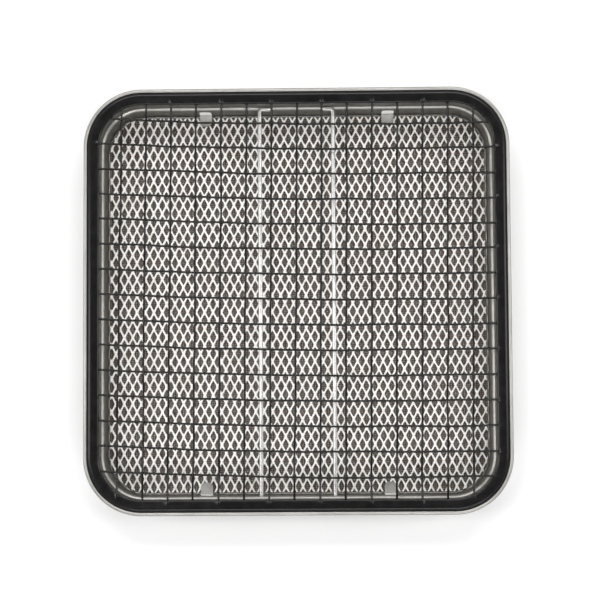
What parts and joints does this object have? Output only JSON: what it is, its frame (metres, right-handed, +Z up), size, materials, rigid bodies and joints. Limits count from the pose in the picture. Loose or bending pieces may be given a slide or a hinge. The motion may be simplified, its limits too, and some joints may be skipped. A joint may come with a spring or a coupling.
{
  "type": "stovetop grill",
  "caption": "Square stovetop grill: shallow steel tray with rounded corners, ceramic-coated expanded mesh, woven black net in a rolled rim, and a slide-out wire handle.",
  "frame": {"origin": "centre of the tray's underside, on the surface that the grill stands on", "axes": "+Z up, +Y to the back, -Y to the front where the handle slides out, +X to the right"},
  "size_m": [0.22, 0.22, 0.0271],
  "materials": {
    "tray_steel": "bright rolled stainless sheet",
    "gauze_steel": "fine woven heat-resisting wire, brownish grey",
    "ceramic_coat": "matt off-white ceramic coating",
    "black_coat": "satin black non-stick coating",
    "handle_steel": "bright plated wire"
  },
  "bodies": {
    "tray": {"tray_body": "tray_steel", "bottom_gauze": "gauze_steel", "ceramic_mesh": "ceramic_coat"},
    "net": {"net_rim": "black_coat", "net_wire_across_01": "black_coat", "net_wire_across_02": "black_coat", "net_wire_across_03": "black_coat", "net_wire_across_04": "black_coat", "net_wire_across_05": "black_coat", "net_wire_across_06": "black_coat", "net_wire_across_07": "black_coat", "net_wire_across_08": "black_coat", "net_wire_across_09": "black_coat", "net_wire_across_10": "black_coat", "net_wire_across_11": "black_coat", "net_wire_across_12": "black_coat", "net_wire_across_13": "black_coat", "net_wire_across_14": "black_coat", "net_wire_across_15": "black_coat", "net_wire_deep_01": "black_coat", "net_wire_deep_02": "black_coat", "net_wire_deep_03": "black_coat", "net_wire_deep_04": "black_coat", "net_wire_deep_05": "black_coat", "net_wire_deep_06": "black_coat", "net_wire_deep_07": "black_coat", "net_wire_deep_08": "black_coat", "net_wire_deep_09": "black_coat", "net_wire_deep_10": "black_coat", "net_wire_deep_11": "black_coat", "net_wire_deep_12": "black_coat", "net_wire_deep_13": "black_coat", "net_wire_deep_14": "black_coat", "net_wire_deep_15": "black_coat"},
    "handle": {"handle_wire": "handle_steel"}
  },
  "joints": [
    {"name": "net_lift", "type": "slide", "parent": "tray", "child": "net", "axis": [0, 0, 1], "range_m": [0, 0.06]},
    {"name": "handle_slide", "type": "slide", "parent": "tray", "child": "handle", "axis": [0, -0.9999, -0.0173], "range_m": [0, 0.2]}
  ]
}
